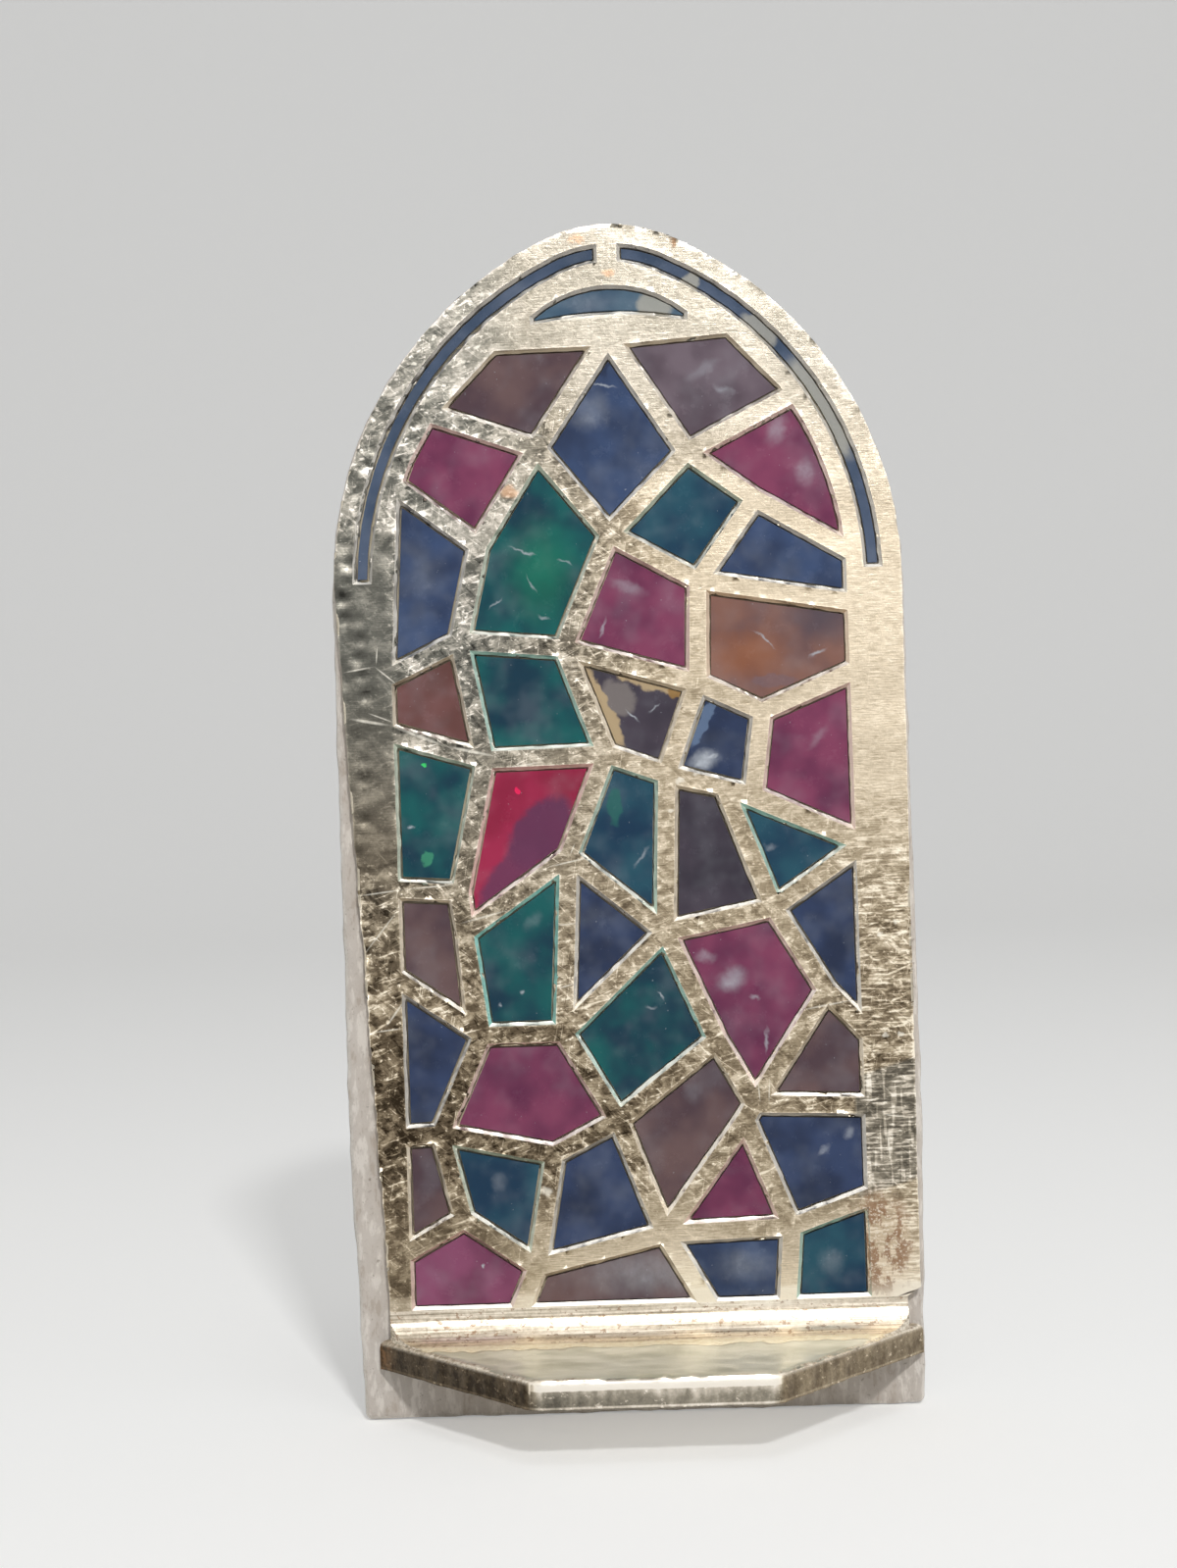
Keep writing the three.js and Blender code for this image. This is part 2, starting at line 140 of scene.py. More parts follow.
# The glow that a pane throws on the slopes round it: colour and strength, and where it is stronger
GLOWS = {
    "teal": (126, 204, 196, 0.3),
    "magenta": (226, 166, 182, 0.35),
    "red": (226, 140, 160, 0.4),
    "blue": (160, 176, 202, 0.3),
    "brown": (200, 176, 158, 0.2),
    "amber": (220, 160, 120, 0.3),
}
STRONG_GLOWS = {
    "pane_13": 0.6, "pane_19": 0.5, "pane_21": 0.7, "pane_24": 0.9, "pane_27": 0.7, "pane_40": 0.6,
}
GLOW_REACH = 0.6
GLOW_STEP = 0.3

# How bright the sheet's rims are, worn gilding with a painted edge highlight: beside a pane, and
# elsewhere
PANE_RIM = 0.6
FREE_RIM = 1


def linear(red, green, blue, alpha=1):
    """A colour given as it looks on a screen, 0 to 255, as the renderer's linear values."""
    def channel(value):
        part = value / 255
        return part / 12.92 if part <= 0.04045 else ((part + 0.055) / 1.055) ** 2.4
    return (channel(red), channel(green), channel(blue), alpha)


# Gilding by its tone, 0 to 1, from dark to light: where gold is left on it, and where silver shows
GOLD = [
    (0.12, linear(50, 41, 30)), (0.4, linear(113, 99, 80)), (0.6, linear(165, 150, 125)),
    (0.8, linear(221, 206, 182)), (0.97, linear(250, 240, 220)),
]
BARE_SILVER = [
    (0.12, linear(46, 45, 42)), (0.4, linear(102, 101, 94)), (0.6, linear(152, 148, 137)),
    (0.8, linear(212, 204, 192)), (0.97, linear(246, 240, 231)),
]

# Painted light, shade and highlight for the walls of the openings, then what lies on the gilding
SLOPE_LIT = linear(232, 221, 199)
SLOPE_SHADED = linear(176, 161, 132)
SLOPE_HIGHLIGHT = linear(255, 250, 240)
SCRATCH_AND_HIGHLIGHT = linear(240, 234, 220)
RUST = linear(134, 98, 66)
RUST_STAIN = linear(206, 184, 156)
RUST_SPOTS = linear(140, 104, 76)
RUST_FLECKS = linear(236, 226, 210)
COPPER = linear(214, 170, 134)
CRACK = linear(70, 58, 44)

# The stain on the shelf: film in front, a yellow border behind it, and the line between them
FILM = (linear(192, 190, 166), linear(226, 223, 204))
YELLOW = (linear(232, 216, 176), linear(250, 241, 212))
STAIN_LINE = linear(120, 104, 72)

# The plate, and the film that holds the sheet and the panes on it
IVORY = (linear(190, 180, 170), linear(224, 216, 207))
IVORY_PALE = linear(242, 235, 226)
IVORY_BROWN = linear(166, 148, 130)
IVORY_GREY = linear(160, 148, 132)
IVORY_DIRT = linear(120, 104, 84)
# A painted highlight for the plate's edges
IVORY_RIM_HIGHLIGHT = linear(240, 235, 226)
BOND = (linear(196, 180, 150), linear(226, 214, 188))

# Panes: the darker and the lighter colour of each look
PANE_COLOURS = {
    "blue": (linear(44, 58, 88), linear(62, 82, 120)),
    "navy": (linear(34, 46, 74), linear(54, 70, 106)),
    "teal": (linear(8, 54, 74), linear(16, 96, 96)),
    "sea": (linear(16, 54, 82), linear(36, 84, 102)),
    "magenta": (linear(104, 44, 78), linear(138, 66, 98)),
    "pink": (linear(116, 58, 88), linear(146, 80, 114)),
    "brown": (linear(82, 62, 70), linear(112, 88, 88)),
    "plum": (linear(90, 76, 86), linear(118, 104, 114)),
    "russet": (linear(104, 66, 62), linear(126, 84, 82)),
    "mauve": (linear(56, 50, 62), linear(74, 66, 78)),
    "dusk": (linear(54, 72, 96), linear(84, 98, 122)),
    "slate": (linear(52, 78, 104), linear(80, 106, 126)),
    "amber": (linear(112, 84, 84), linear(140, 100, 88)),
    "red": (linear(146, 30, 64), linear(172, 44, 82)),
}

# Panes that look other than the rest of their colour
PANE_LOOKS = {
    "arch_pane_left": "dusk", "arch_pane_right": "dusk", "crescent_pane": "slate",
    "pane_02": "plum", "pane_07": "sea", "pane_12": "russet", "pane_14": "mauve", "pane_15": "navy",
    "pane_19": "sea", "pane_20": "mauve", "pane_21": "sea", "pane_22": "navy", "pane_25": "navy",
    "pane_28": "navy", "pane_32": "navy", "pane_34": "sea", "pane_35": "navy", "pane_37": "pink",
    "pane_40": "sea",
}

# Colours of the marks on panes. The soft ones fade out from their middle.
HAZE = linear(196, 202, 210)
SILVER = linear(176, 174, 164)
TAN = linear(196, 172, 134)
AMBER = linear(170, 98, 40)
GREEN = linear(24, 134, 96)
SHADE = linear(82, 76, 88)
NAVY = linear(30, 40, 64)
SKY = linear(112, 134, 166)
LILAC = linear(124, 104, 112)
ASH = linear(140, 132, 128)
OCHRE = linear(158, 122, 70)
# Painted glint, bright green
LEAF_GLINT = linear(70, 226, 120)
MINT = linear(90, 190, 140)
JADE = linear(40, 112, 100)
WINE = linear(112, 56, 90)
DARK_WINE = linear(100, 54, 88)
# Painted glint, bright red
SPARK_GLINT = linear(255, 40, 100)
SOFT = (HAZE, AMBER, GREEN, SHADE)

# Marks on single panes: x, z, length, width, turn in degrees, colour and strength
PANE_MARKS = {
    "arch_pane_right": [
        (4.8, 66.1, 1.4, 1.6, 0, SILVER, 0.9), (8.8, 63.3, 2.8, 1.6, -40, SILVER, 0.8),
        (12.2, 58.5, 7.6, 2.2, -62, SILVER, 0.9),
    ],
    "crescent_pane": [(2.8, 65.0, 2.6, 1.8, 0, SILVER, 0.9), (-1, 65.2, 6, 1.6, 0, HAZE, 0.2)],
    "pane_02": [(5.4, 61, 3, 1, 30, HAZE, 0.4), (6.6, 59.8, 1.6, 0.7, -20, HAZE, 0.5)],
    "pane_03": [
        (-1.4, 58.8, 3.4, 3, 0, HAZE, 0.35), (-0.4, 61.6, 2, 0.7, 90, NAVY, 0.7),
        (-0.4, 60.3, 2, 0.25, -8, HAZE, 1.2),
    ],
    "pane_05": [(9.6, 57.4, 2.8, 1.6, 70, HAZE, 0.6), (11.2, 54.8, 1.6, 2.2, 0, HAZE, 0.5)],
    "pane_06": [
        (-4.4, 49.4, 6, 9, 0, GREEN, 0.5), (-5.5, 50.7, 2.2, 0.2, -18, HAZE, 1.2),
        (-5.1, 48.8, 1.6, 0.2, -62, HAZE, 1), (-7.2, 47.7, 1.2, 0.2, 40, HAZE, 1),
        (-4.4, 46.8, 1, 0.25, -30, HAZE, 1), (-3, 49.9, 1.3, 0.2, -25, HAZE, 1),
    ],
    "pane_09": [(-11.5, 50, 2, 5, 0, HAZE, 0.15)],
    "pane_10": [(0.6, 48.4, 3, 1, -20, HAZE, 0.5), (-1, 46, 1.6, 0.25, 75, HAZE, 0.8)],
    "pane_11": [
        (7.4, 44.2, 6.6, 4.8, 0, AMBER, 0.5), (8.5, 45.1, 2.2, 0.2, -42, HAZE, 1.2),
        (11.6, 44.1, 1.4, 0.3, 20, HAZE, 1.2), (9, 42.6, 3, 1, 0, LILAC, 0.6),
        (12, 46.2, 7, 4.4, -10, SHADE, 0.8),
    ],
    "pane_14": [
        (-0.2, 41.9, 2.6, 2.2, -50, ASH, 0.8), (-1.1, 41.4, 6, 1.1, -66, TAN, 1),
        (1.6, 42.9, 5.4, 1.2, -18, TAN, 1), (3.3, 42.2, 1.4, 1, -20, OCHRE, 1),
        (0.6, 40.9, 1.4, 0.25, -50, HAZE, 1.4), (1.9, 41.2, 1.2, 0.2, 30, HAZE, 1.2),
    ],
    "pane_15": [
        (6.6, 39.4, 4, 3.4, 0, NAVY, 0.45), (4.9, 40.6, 4.4, 0.7, 62, SKY, 0.8),
        (4.7, 38.1, 2.4, 1.6, 20, HAZE, 1.5), (4.4, 37.9, 1, 0.4, 50, HAZE, 1.6),
        (5.2, 38.3, 1, 0.3, 10, HAZE, 1.6),
    ],
    "pane_16": [(11.4, 39.2, 2.4, 0.8, 50, HAZE, 0.35)],
    "pane_17": [
        (-11.7, 38.4, 0.5, 0.22, -20, LEAF_GLINT, 1), (-11.7, 32.9, 0.8, 1, 0, MINT, 0.5),
        (-12.6, 34.7, 0.4, 0.3, 0, HAZE, 1.4),
    ],
    "pane_18": [
        (-5, 34.2, 5.6, 3.4, 50, DARK_WINE, 1), (-7, 31, 6.4, 3, 56, WINE, 1),
        (-6.3, 36.7, 0.4, 0.4, 0, SPARK_GLINT, 1),
    ],
    "pane_19": [(-0.6, 35.6, 1, 2.6, 0, JADE, 0.7), (0.8, 32.5, 2, 0.3, 50, HAZE, 0.7)],
    "pane_21": [(8.4, 32.9, 1, 0.5, 0, HAZE, 0.5)],
    "pane_24": [
        (-6.4, 24.8, 0.4, 0.5, 0, HAZE, 1.4), (-7.7, 24.2, 0.4, 0.3, 0, HAZE, 1),
        (-5.6, 29, 2, 1, 40, HAZE, 0.3),
    ],
    "pane_26": [
        (5.9, 25.2, 2.6, 1.8, 20, HAZE, 0.9), (4.4, 26.6, 1.6, 1, 0, HAZE, 0.7),
        (7.8, 21.6, 1.8, 0.3, 90, HAZE, 1), (7.2, 24.2, 0.8, 0.4, 0, HAZE, 0.8),
    ],
    "pane_27": [(1.7, 24.4, 1, 0.2, -50, HAZE, 1.2), (1.1, 23.8, 0.8, 0.3, 0, HAZE, 0.8)],
    "pane_31": [(3.4, 18.8, 1.4, 2.2, 0, HAZE, 0.3)],
    "pane_32": [(10.9, 15.1, 1.2, 0.4, 40, HAZE, 0.8), (12.4, 16.1, 0.8, 1, 0, HAZE, 0.7)],
    "pane_34": [(-8.1, 13.8, 1.2, 1.4, 0, HAZE, 0.4)],
    "pane_37": [(-9.1, 9, 0.35, 0.35, 0, HAZE, 1.6)],
    "pane_38": [(1, 8.4, 14, 4, 0, HAZE, 0.6)],
    "pane_39": [(6.2, 8.6, 5, 3, 0, HAZE, 0.4)],
    "pane_40": [(11.2, 8.6, 2, 2.4, 0, HAZE, 0.35)],
}


# Materials

class Field:
    """A value that a material works out at each place. Sums and products become its nodes."""

    def __init__(self, paint, socket):
        self.paint = paint
        self.socket = socket

    def __add__(self, other):
        return self.paint.math("ADD", self, other)

    __radd__ = __add__

    def __mul__(self, other):
        return self.paint.math("MULTIPLY", self, other)

    __rmul__ = __mul__

    def __sub__(self, other):
        return self.paint.math("SUBTRACT", self, other)

    def __rsub__(self, other):
        return self.paint.math("SUBTRACT", other, self)

    def __neg__(self):
        return self.paint.math("MULTIPLY", self, -1)

    def __abs__(self):
        return self.paint.math("ABSOLUTE", self)


def bare(value):
    return value.socket if isinstance(value, Field) else value


class Paint:
    """A procedural material. Places in it are in millimetres, in the part's own frame."""

    # Marks with uneven edges: lumps in a millimetre, and how wide a strip the edges wander in
    SHAKE_LUMPS = 1.6
    SHAKE_REACH = 0.7
    # So wide that a mark counts at any depth
    ANY_DEPTH = 1000

    def __init__(self, name, roughness=0.5, metallic=0, specular=0.5):
        self.material = bpy.data.materials.new(name)
        self.material.use_nodes = True
        self.tree = self.material.node_tree
        self.shader = self.tree.nodes["Principled BSDF"]
        self.shader.inputs["Roughness"].default_value = roughness
        self.shader.inputs["Metallic"].default_value = metallic
        self.shader.inputs["Specular IOR Level"].default_value = specular
        coordinates = self.node("ShaderNodeTexCoord").outputs
        scale = {0: coordinates["Object"], 1: (1 / MM,) * 3}
        self.place = self.node("ShaderNodeVectorMath", scale, operation="MULTIPLY").outputs[0]
        self.x, self.y, self.z = self.parts(self.place)
        self.facing_x, self.facing_y, self.facing_z = self.parts(coordinates["Normal"])
        self.unsteady = None

    def fill(self, made, inputs):
        """Gives a node's inputs their values, by a link where a value comes from another node."""
        for key, value in inputs.items():
            value = bare(value)
            if isinstance(value, bpy.types.NodeSocket):
                self.tree.links.new(value, made.inputs[key])
            else:
                made.inputs[key].default_value = value

    def node(self, kind, inputs=None, **settings):
        made = self.tree.nodes.new(kind)
        for name, value in settings.items():
            setattr(made, name, value)
        self.fill(made, inputs or {})
        return made

    def parts(self, vector):
        outputs = self.node("ShaderNodeSeparateXYZ", {0: vector}).outputs
        return [Field(self, output) for output in outputs]

    def math(self, operation, *values):
        made = self.node("ShaderNodeMath", dict(enumerate(values)), operation=operation)
        return Field(self, made.outputs[0])

    def stored(self, name):
        """What the mesh's points carry under a name: as a colour, a vector, a value and an alpha."""
        return self.node("ShaderNodeAttribute", attribute_name=name).outputs

    def rise(self, value, low, high):
        """0 up to one bound and 1 from the other on, smooth between. The bounds may run down."""
        bounds = {"Value": value, "From Min": low, "From Max": high}
        made = self.node("ShaderNodeMapRange", bounds, interpolation_type="SMOOTHSTEP")
        return Field(self, made.outputs["Result"])

    def band(self, value, low, high, soft):
        return self.rise(value, low - soft, low) * self.rise(value, high + soft, high)

    def noise(self, size, detail=2, roughness=0.5, stretch=(1, 1, 1), turn=0, distortion=0, offset=0):
        """Noise about 0.5 whose lumps are about size wide, times a stretch along each axis."""
        settings = {
            "Vector": self.place,
            "Location": (offset,) * 3,
            "Rotation": (0, -math.radians(turn), 0),
            "Scale": [size * part for part in stretch],
        }
        placed = self.node("ShaderNodeMapping", settings, vector_type="TEXTURE")
        settings = {
            "Vector": placed.outputs[0],
            "Scale": 1,
            "Detail": detail,
            "Roughness": roughness,
            "Distortion": distortion,
        }
        return Field(self, self.node("ShaderNodeTexNoise", settings).outputs[0])

    def wobbled(self):
        """Places moved about a little, so that marks drawn with them get uneven edges."""
        if self.unsteady is None:
            lumps = {"Vector": self.place, "Scale": self.SHAKE_LUMPS, "Detail": 3}
            shake = self.node("ShaderNodeTexNoise", lumps).outputs["Color"]
            centred = self.node("ShaderNodeVectorMath", {0: shake, 1: (-0.5,) * 3}).outputs[0]
            reach = {0: centred, "Scale": self.SHAKE_REACH}
            scaled = self.node("ShaderNodeVectorMath", reach, operation="SCALE").outputs[0]
            self.unsteady = self.node("ShaderNodeVectorMath", {0: self.place, 1: scaled}).outputs[0]
        return self.unsteady

    def spot(self, x, z, length, width, turn=0, core=0.4, steady=False):
        """1 inside an ellipse seen from the front and 0 outside it, soft from its core outwards."""
        settings = {
            "Vector": self.place if steady else self.wobbled(),
            "Location": (x, 0, z),
            "Rotation": (0, -math.radians(turn), 0),
            "Scale": (length / 2, self.ANY_DEPTH, width / 2),
        }
        placed = self.node("ShaderNodeMapping", settings, vector_type="TEXTURE")
        reach = self.node("ShaderNodeVectorMath", {0: placed.outputs[0]}, operation="LENGTH")
        return self.rise(Field(self, reach.outputs["Value"]), 1, core)

    def stroke(self, start_x, start_z, end_x, end_z, width):
        """A thin spot from one place to another, and a little longer, because its ends are soft."""
        along_x, along_z = end_x - start_x, end_z - start_z
        length = 1.15 * math.hypot(along_x, along_z)
        turn = math.degrees(math.atan2(along_z, along_x))
        middle_x, middle_z = (start_x + end_x) / 2, (start_z + end_z) / 2
        return self.spot(middle_x, middle_z, length, width, turn, core=0.2, steady=True)

    def mix(self, factor, first, second):
        made = self.node("ShaderNodeMix", data_type="RGBA", clamp_factor=True)
        self.fill(made, {0: factor, 6: first, 7: second})
        return Field(self, made.outputs[2])

    def ramp(self, value, stops):
        made = self.node("ShaderNodeValToRGB", {0: value})
        elements = made.color_ramp.elements
        while len(elements) < len(stops):
            elements.new(1)
        for element, (place, colour) in zip(elements, stops):
            element.position = place
            element.color = colour
        return Field(self, made.outputs[0])

    def finish(self, colour, roughness, height=None, depth=0, metallic=None):
        """Sets the colour and the roughness and, where given, the relief and the metal's share."""
        self.fill(self.shader, {"Base Color": colour, "Roughness": roughness})
        if metallic is not None:
            self.fill(self.shader, {"Metallic": metallic})
        if height is not None:
            relief = self.node("ShaderNodeBump", {"Height": height, "Distance": depth * MM})
            self.fill(self.shader, {"Normal": relief.outputs[0]})
        return self.material


class Gilding(Paint):
    """Worn gilding, with the textures that its flat part and its shelf share."""

    def __init__(self, name):
        super().__init__(name, metallic=1)
        self.grain = self.noise(0.06, detail=3, roughness=0.6, stretch=(16, 16, 1))
        self.mottle = self.noise(0.4, detail=4, roughness=0.7, distortion=0.5)
        self.fine = self.noise(0.13, detail=2, roughness=0.6, stretch=(1.4, 1, 1), offset=15)
        self.flake = self.noise(0.3, detail=3, roughness=0.65, stretch=(1.5, 1.5, 1), offset=21)

    def gilt(self, tone, bareness):
        return self.mix(bareness, self.ramp(tone, GOLD), self.ramp(tone, BARE_SILVER))


def sheet_tone(paint, calm, foot, scuffed):
    """How light the flat part is, largely a painted reflection of light from above and the right, partly
    worn gilding: lighter to the right, upwards and by the foot, darker in some areas.
    """
    x, z, rise, band = paint.x, paint.z, paint.rise, paint.band
    # Painted reflection: lighter to the right and upwards
    tone = 0.635 + 0.0085 * paint.math("MINIMUM", x, 12) + 0.0033 * (z - 36)
    crown = rise(z, 58, 66)
    tone = tone - 0.09 * calm - 0.06 * crown
    right_border = rise(x, 9, 12) * rise(z, 34, 27) * rise(z, 10, 14)
    right_arch = rise(z, 50, 60) * rise(x, -2, 6)
    tone = tone - 0.07 * right_border - 0.07 * right_arch
    right_shoulder = rise(z, 48, 53) * rise(x, 7, 12)
    right_bars = rise(x, 2, 5) * band(z, 18, 34, 3)
    tone = tone - 0.04 * right_shoulder - 0.05 * right_bars
    middle_bars = band(z, 42, 52, 4) * band(x, -6, 0, 4)
    left_bars = band(z, 41, 49, 3) * rise(x, -4, -7)
    tone = tone - 0.09 * middle_bars - 0.05 * left_bars
    left_arch = band(z, 55, 59, 2) * band(x, -12, -3, 2)
    pale_bar = band(z, 51, 53, 1) * band(x, -9, -6, 1)
    tone = tone - 0.07 * left_arch + 0.07 * pale_bar
    low_bars = band(z, 16, 21, 3) * rise(x, 6, 1)
    low_middle = rise(z, 14, 11) * rise(abs(x + 1), 9, 4)
    tone = tone - 0.13 * low_bars + 0.12 * low_middle
    above_foot = rise(z, 11, 7.4) * rise(x, -13, 0)
    return tone + 0.2 * above_foot + 0.2 * foot - 0.12 * scuffed


def sheet_wear(paint, tone, dimness, calm, scuffed):
    """Adds brushed grain to the tone, and dents, flecks and hairlines, mostly where it is dim, painted
    glints on the right border and brighter rims, partly painted edge highlight.
    """
    x, z, mottle = paint.x, paint.z, paint.mottle
    rise, band, noise = paint.rise, paint.band, paint.noise
    patches = noise(0.8, detail=4, roughness=0.6, stretch=(1.4, 1, 1), distortion=0.6, offset=71)
    tone = tone + (rise(patches, 0.44, 0.58) - 0.5) * 0.26 * dimness
    tone = tone + (mottle - 0.5) * (0.14 + 0.3 * dimness)
    tone = tone + (paint.fine - 0.5) * (0.1 + 0.14 * dimness)
    crumple = noise(1.1, detail=3, roughness=0.6, distortion=1.2, offset=7)
    tone = tone + (crumple - 0.5) * 0.5 * dimness
    brushed = 0.24 + 0.36 * rise(x, 6, 13) + 0.3 * band(x, -4, 6, 4)
    tone = tone + (paint.grain - 0.5) * brushed
    tone = tone + 0.36 * rise(paint.flake, 0.6, 0.67) * (0.1 + dimness)
    smear = noise(0.32, detail=3, roughness=0.6, stretch=(5, 1, 1), turn=18, distortion=0.4, offset=33)
    tone = tone + (0.44 * rise(smear, 0.58, 0.7) - 0.18 * rise(smear, 0.44, 0.34)) * dimness
    smudge = noise(0.3, detail=3, roughness=0.6, stretch=(5, 1, 1), turn=-48, distortion=0.4, offset=37)
    tone = tone + (0.34 * rise(smudge, 0.6, 0.72) - 0.16 * rise(smudge, 0.42, 0.34)) * dimness
    # Painted glints: light and dark horizontal streaks along the lower right border
    glint = noise(0.14, detail=2, stretch=(8, 1, 1), offset=75)
    glinting = rise(x, 11, 13) * rise(z, 38, 28)
    tone = tone + (0.3 * rise(glint, 0.52, 0.64) - 0.1 * rise(glint, 0.46, 0.36)) * glinting
    upright = noise(0.3, detail=1, stretch=(1, 1, 9), offset=77)
    tone = tone + 0.22 * rise(upright, 0.56, 0.66) * scuffed
    for turn, offset in ((24, 51), (-38, 57), (80, 63)):
        hair = rise(noise(0.07, detail=1, stretch=(26, 1, 1), turn=turn, offset=offset), 0.68, 0.78)
        tone = tone + 0.28 * hair * (0.2 + dimness) * (1 - 0.8 * calm)
    # Brighter rims: partly worn gilding, partly painted edge highlight
    rim = Field(paint, paint.stored("rim")["Fac"])
    return tone + 0.4 * rise(rim, 0.1, 1) * (0.2 + mottle) * (0.3 + dimness)


def slope_colour(paint, colour, upward):
    """The walls of the openings, with painted light and shade: light below and beside a pane, dark above
    it, with the pane's glow, and a painted highlight where they face up.
    """
    # Painted shade on slopes that face down, painted light on the others
    sloped = paint.mix(paint.rise(paint.facing_z, -0.25, -0.55), SLOPE_LIT, SLOPE_SHADED)
    glow = paint.stored("glow")
    sloped = paint.mix(glow["Alpha"], sloped, glow["Color"])
    sloped = paint.mix((paint.mottle - 0.35) * 1.1, sloped, colour)
    # Painted highlight on slopes that face up
    return paint.mix(upward * 0.85, sloped, SLOPE_HIGHLIGHT)


def sheet_marks(paint, colour, slope):
    """Adds scratches, painted highlights and painted glints in dints, rust at the lower right, small
    copper spots and a crack by the notch.
    """
    rise, mix, spot, mottle = paint.rise, paint.mix, paint.spot, paint.mottle
    marks = 0
    # Scratches, painted highlights and painted glints in dints, all in one pale colour
    for scratch in SCRATCHES_AND_HIGHLIGHTS:
        marks = paint.stroke(*scratch) + marks
    for x, z, wide in DINT_GLINTS:
        marks = spot(x, z, wide, 0.8 * wide) + marks
    colour = mix(marks * (0.1 + mottle) * (1 - slope), colour, SCRATCH_AND_HIGHLIGHT)
    rusty = spot(13.9, 9.6, 5.4, 7.4, core=0.5)
    colour = mix(rusty * 0.5, colour, RUST_STAIN)
    spots = paint.noise(0.8, detail=4, roughness=0.7, stretch=(1, 1, 1.6), offset=81)
    colour = mix(rusty * rise(spots, 0.48, 0.56) * 0.8, colour, RUST_SPOTS)
    colour = mix(rusty * rise(paint.fine, 0.56, 0.64) * 0.7, colour, RUST_FLECKS)
    colour = mix(spot(3.9, 68.6, 0.5, 0.9) * 0.75, colour, RUST)
    copper = spot(-1.7, 68.9, 1.3, 0.8) * rise(mottle, 0.4, 0.55)
    copper = copper + spot(0.1, 66.9, 0.9, 0.5) + spot(-6.2, 54.2, 1.4, 1)
    colour = mix(copper * 0.6, colour, COPPER)
    return mix(paint.stroke(14.8, 6.45, 16.4, 6.95, 0.16), colour, CRACK)


def sheet_material():
    paint = Gilding("gilt")
    x, z, facing_z = paint.x, paint.z, paint.facing_z
    rise, band, mottle = paint.rise, paint.band, paint.mottle
    slope = rise(-paint.facing_y, 0.88, 0.78)
    # Slopes that face up, which get a painted highlight
    upward = rise(facing_z, 0.2, 0.5) * slope

    # Areas with a look of their own: the left border, smoother and darker, a painted reflection, the
    # foot, and a patch with upright scuffs
    calm = rise(x, -12.5, -14) * band(z, 34, 50, 4)
    foot = rise(z, BEND_TOP + 1, BEND_TOP + 0.6)
    scuffed = band(x, 13, 20, 0.3) * band(z + 0.3 * (14 - x), 12.8, 19.5, 0.3)

    tone = sheet_tone(paint, calm, foot, scuffed)
    dimness = rise(tone, 0.77, 0.5) * (1 - 0.8 * calm) * (1 - 0.5 * scuffed)
    dimness = dimness * (1 - 0.5 * rise(z, 14, 10)) * (1 - 0.7 * rise(z, 57, 62) * rise(x, -10, -4))
    # Painted light and shade: parts of the face turned upwards, in dents and waves, are lighter, and
    # those turned downwards are darker
    tone = tone + 1.1 * facing_z * (1 - slope)
    tone = sheet_wear(paint, tone, dimness, calm, scuffed)
    bareness = rise(z, 22, 46) * rise(x, 4, -10)
    bareness = paint.math("MAXIMUM", bareness, rise(z, 50, 62) * 0.7 + 0.6 * scuffed)
    colour = paint.gilt(tone, bareness)
    colour = paint.mix(slope, colour, slope_colour(paint, colour, upward))
    colour = sheet_marks(paint, colour, slope)
    metallic = 1 - 0.7 * slope + 0.7 * upward - 0.7 * foot * (1 - slope)
    relief = paint.grain * 0.3 + mottle * 0.7
    return paint.finish(colour, 0.28 + 0.2 * mottle, relief, depth=0.03, metallic=metallic)


def bend_tone(paint):
    """The bend is bright, a little dimmer at its left end, with darker lines along it."""
    rise, band, z = paint.rise, paint.band, paint.z
    lines = paint.noise(0.12, detail=2, stretch=(60, 1, 1), offset=91)
    upper_line = band(z, FLOOR_HEIGHT + 1.1, FLOOR_HEIGHT + 1.2, 0.1)
    lower_line = band(z, FLOOR_HEIGHT + 0.45, FLOOR_HEIGHT + 0.55, 0.2)
    tone = 0.84 - 0.12 * rise(paint.x, -9, -15) - 0.14 * upper_line - 0.08 * lower_line
    return tone + (paint.mottle - 0.5) * 0.4 + (lines - 0.5) * 0.8


